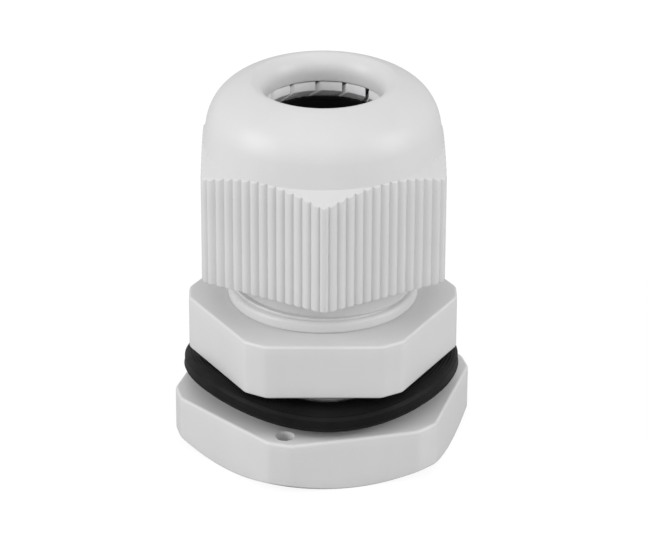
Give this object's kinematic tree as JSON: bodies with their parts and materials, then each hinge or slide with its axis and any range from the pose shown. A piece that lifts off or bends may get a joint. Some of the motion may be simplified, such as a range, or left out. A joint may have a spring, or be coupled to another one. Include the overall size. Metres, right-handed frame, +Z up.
{
  "type": "cable gland",
  "caption": "Light grey plastic cable gland with a ribbed dome nut, hexagon body, black rubber gasket, seal and fingered clamping cage, and a lock nut.",
  "frame": {"origin": "on the gland's axis at the underside of the lock nut, which stands on the ground", "axes": "+Z up along the gland's axis, from the lock nut to the cable mouth; a flat of the body's hexagon faces -Y and a corner of the dome nut faces -Y"},
  "size_m": [0.03, 0.0296, 0.0383],
  "materials": {
    "housing_plastic": "satin moulded polyamide, light grey",
    "cage_plastic": "satin moulded polyamide, light grey",
    "seal_rubber": "smooth black nitrile rubber",
    "gasket_rubber": "black nitrile rubber with fine rings"
  },
  "bodies": {
    "gland": {"gland_body": "housing_plastic", "cage_ring": "cage_plastic"},
    "seal": {"seal_sleeve": "seal_rubber"},
    "cap": {"dome_nut": "housing_plastic"},
    "gasket": {"flat_gasket": "gasket_rubber"},
    "locknut": {"lock_nut": "housing_plastic"},
    "finger_01": {"finger_01": "cage_plastic"},
    "finger_02": {"finger_02": "cage_plastic"},
    "finger_03": {"finger_03": "cage_plastic"},
    "finger_04": {"finger_04": "cage_plastic"},
    "finger_05": {"finger_05": "cage_plastic"},
    "finger_06": {"finger_06": "cage_plastic"},
    "finger_07": {"finger_07": "cage_plastic"},
    "finger_08": {"finger_08": "cage_plastic"},
    "finger_09": {"finger_09": "cage_plastic"},
    "finger_10": {"finger_10": "cage_plastic"},
    "finger_11": {"finger_11": "cage_plastic"},
    "finger_12": {"finger_12": "cage_plastic"},
    "finger_13": {"finger_13": "cage_plastic"},
    "finger_14": {"finger_14": "cage_plastic"}
  },
  "joints": [
    {"name": "seal_press", "type": "slide", "parent": "gland", "child": "seal", "axis": [0, 0, -1], "range_m": [0, 0.001], "deforming": ["seal_sleeve"]},
    {"name": "dome_nut_turn", "type": "hinge", "parent": "seal", "child": "cap", "pos_m": [0, 0, 0.02888], "axis": [0, 0, -1], "range_deg": [0, 180]},
    {"name": "gasket_rise", "type": "slide", "parent": "gland", "child": "gasket", "axis": [0, 0, 1], "range_m": [0, 0.0015], "deforming": ["flat_gasket"]},
    {"name": "lock_nut_turn", "type": "hinge", "parent": "gasket", "child": "locknut", "pos_m": [0, 0, 0.00279], "axis": [0, 0, 1], "range_deg": [0, 360]},
    {"name": "finger_01_bend", "type": "hinge", "parent": "gland", "child": "finger_01", "pos_m": [0.0082, 0, 0.02808], "axis": [0, -1, 0], "range_deg": [0, 8]},
    {"name": "finger_02_bend", "type": "hinge", "parent": "gland", "child": "finger_02", "pos_m": [0.00739, 0.00356, 0.02808], "axis": [0.4339, -0.901, 0], "range_deg": [0, 8]},
    {"name": "finger_03_bend", "type": "hinge", "parent": "gland", "child": "finger_03", "pos_m": [0.00511, 0.00641, 0.02808], "axis": [0.7818, -0.6235, 0], "range_deg": [0, 8]},
    {"name": "finger_04_bend", "type": "hinge", "parent": "gland", "child": "finger_04", "pos_m": [0.00182, 0.00799, 0.02808], "axis": [0.9749, -0.2225, 0], "range_deg": [0, 8]},
    {"name": "finger_05_bend", "type": "hinge", "parent": "gland", "child": "finger_05", "pos_m": [-0.00182, 0.00799, 0.02808], "axis": [0.9749, 0.2225, 0], "range_deg": [0, 8]},
    {"name": "finger_06_bend", "type": "hinge", "parent": "gland", "child": "finger_06", "pos_m": [-0.00511, 0.00641, 0.02808], "axis": [0.7818, 0.6235, 0], "range_deg": [0, 8]},
    {"name": "finger_07_bend", "type": "hinge", "parent": "gland", "child": "finger_07", "pos_m": [-0.00739, 0.00356, 0.02808], "axis": [0.4339, 0.901, 0], "range_deg": [0, 8]},
    {"name": "finger_08_bend", "type": "hinge", "parent": "gland", "child": "finger_08", "pos_m": [-0.0082, 0, 0.02808], "axis": [0, 1, 0], "range_deg": [0, 8]},
    {"name": "finger_09_bend", "type": "hinge", "parent": "gland", "child": "finger_09", "pos_m": [-0.00739, -0.00356, 0.02808], "axis": [-0.4339, 0.901, 0], "range_deg": [0, 8]},
    {"name": "finger_10_bend", "type": "hinge", "parent": "gland", "child": "finger_10", "pos_m": [-0.00511, -0.00641, 0.02808], "axis": [-0.7818, 0.6235, 0], "range_deg": [0, 8]},
    {"name": "finger_11_bend", "type": "hinge", "parent": "gland", "child": "finger_11", "pos_m": [-0.00182, -0.00799, 0.02808], "axis": [-0.9749, 0.2225, 0], "range_deg": [0, 8]},
    {"name": "finger_12_bend", "type": "hinge", "parent": "gland", "child": "finger_12", "pos_m": [0.00182, -0.00799, 0.02808], "axis": [-0.9749, -0.2225, 0], "range_deg": [0, 8]},
    {"name": "finger_13_bend", "type": "hinge", "parent": "gland", "child": "finger_13", "pos_m": [0.00511, -0.00641, 0.02808], "axis": [-0.7818, -0.6235, 0], "range_deg": [0, 8]},
    {"name": "finger_14_bend", "type": "hinge", "parent": "gland", "child": "finger_14", "pos_m": [0.00739, -0.00356, 0.02808], "axis": [-0.4339, -0.901, 0], "range_deg": [0, 8]}
  ],
  "couplings": [
    {"joint": "seal_press", "follows": "dome_nut_turn", "m_per_rad": 0.0003183},
    {"joint": "gasket_rise", "follows": "lock_nut_turn", "m_per_rad": 0.00023873},
    {"joint": "finger_01_bend", "follows": "dome_nut_turn", "ratio": 0.044444},
    {"joint": "finger_02_bend", "follows": "dome_nut_turn", "ratio": 0.044444},
    {"joint": "finger_03_bend", "follows": "dome_nut_turn", "ratio": 0.044444},
    {"joint": "finger_04_bend", "follows": "dome_nut_turn", "ratio": 0.044444},
    {"joint": "finger_05_bend", "follows": "dome_nut_turn", "ratio": 0.044444},
    {"joint": "finger_06_bend", "follows": "dome_nut_turn", "ratio": 0.044444},
    {"joint": "finger_07_bend", "follows": "dome_nut_turn", "ratio": 0.044444},
    {"joint": "finger_08_bend", "follows": "dome_nut_turn", "ratio": 0.044444},
    {"joint": "finger_09_bend", "follows": "dome_nut_turn", "ratio": 0.044444},
    {"joint": "finger_10_bend", "follows": "dome_nut_turn", "ratio": 0.044444},
    {"joint": "finger_11_bend", "follows": "dome_nut_turn", "ratio": 0.044444},
    {"joint": "finger_12_bend", "follows": "dome_nut_turn", "ratio": 0.044444},
    {"joint": "finger_13_bend", "follows": "dome_nut_turn", "ratio": 0.044444},
    {"joint": "finger_14_bend", "follows": "dome_nut_turn", "ratio": 0.044444}
  ]
}
